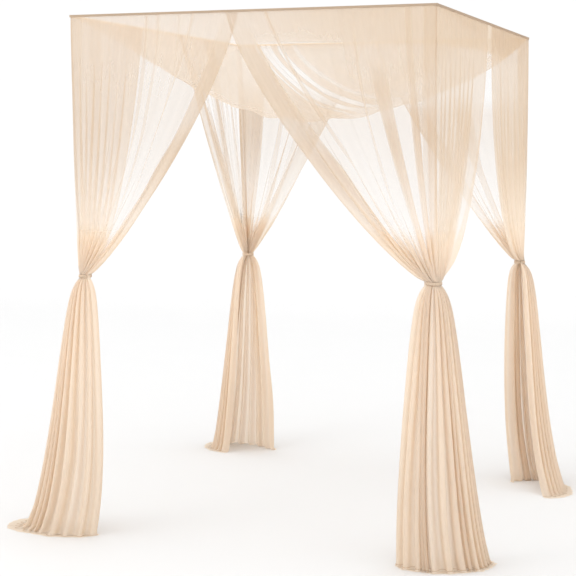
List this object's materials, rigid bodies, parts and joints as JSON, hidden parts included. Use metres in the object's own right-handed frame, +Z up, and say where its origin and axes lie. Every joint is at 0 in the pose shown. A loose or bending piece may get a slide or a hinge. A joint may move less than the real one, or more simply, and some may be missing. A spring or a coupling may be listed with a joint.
{
  "type": "mosquito net canopy",
  "caption": "Sheer rectangular net canopy with a softly sagging roof and tied-back corner curtains that fall to the floor.",
  "frame": {"origin": "middle of the front top edge, on the outer face of the binding", "axes": "+X to the right along the front top edge, +Y from the front to the back, +Z up; the floor is at Z = -2.40"},
  "size_m": [2.4731, 2.3572, 2.3997],
  "materials": {
    "voile": "sheer plain weave, cream",
    "binding": "folded cream tape",
    "tie": "narrow gathered band, cream"
  },
  "bodies": {
    "root": {"roof_panel": "voile", "curtain_front_left": "voile", "curtain_front_right": "voile", "curtain_back_left": "voile", "curtain_back_right": "voile", "binding_front": "binding", "binding_back": "binding", "binding_left": "binding", "binding_right": "binding", "tie_front_left": "tie", "tie_front_right": "tie", "tie_back_left": "tie", "tie_back_right": "tie"}
  },
  "joints": []
}
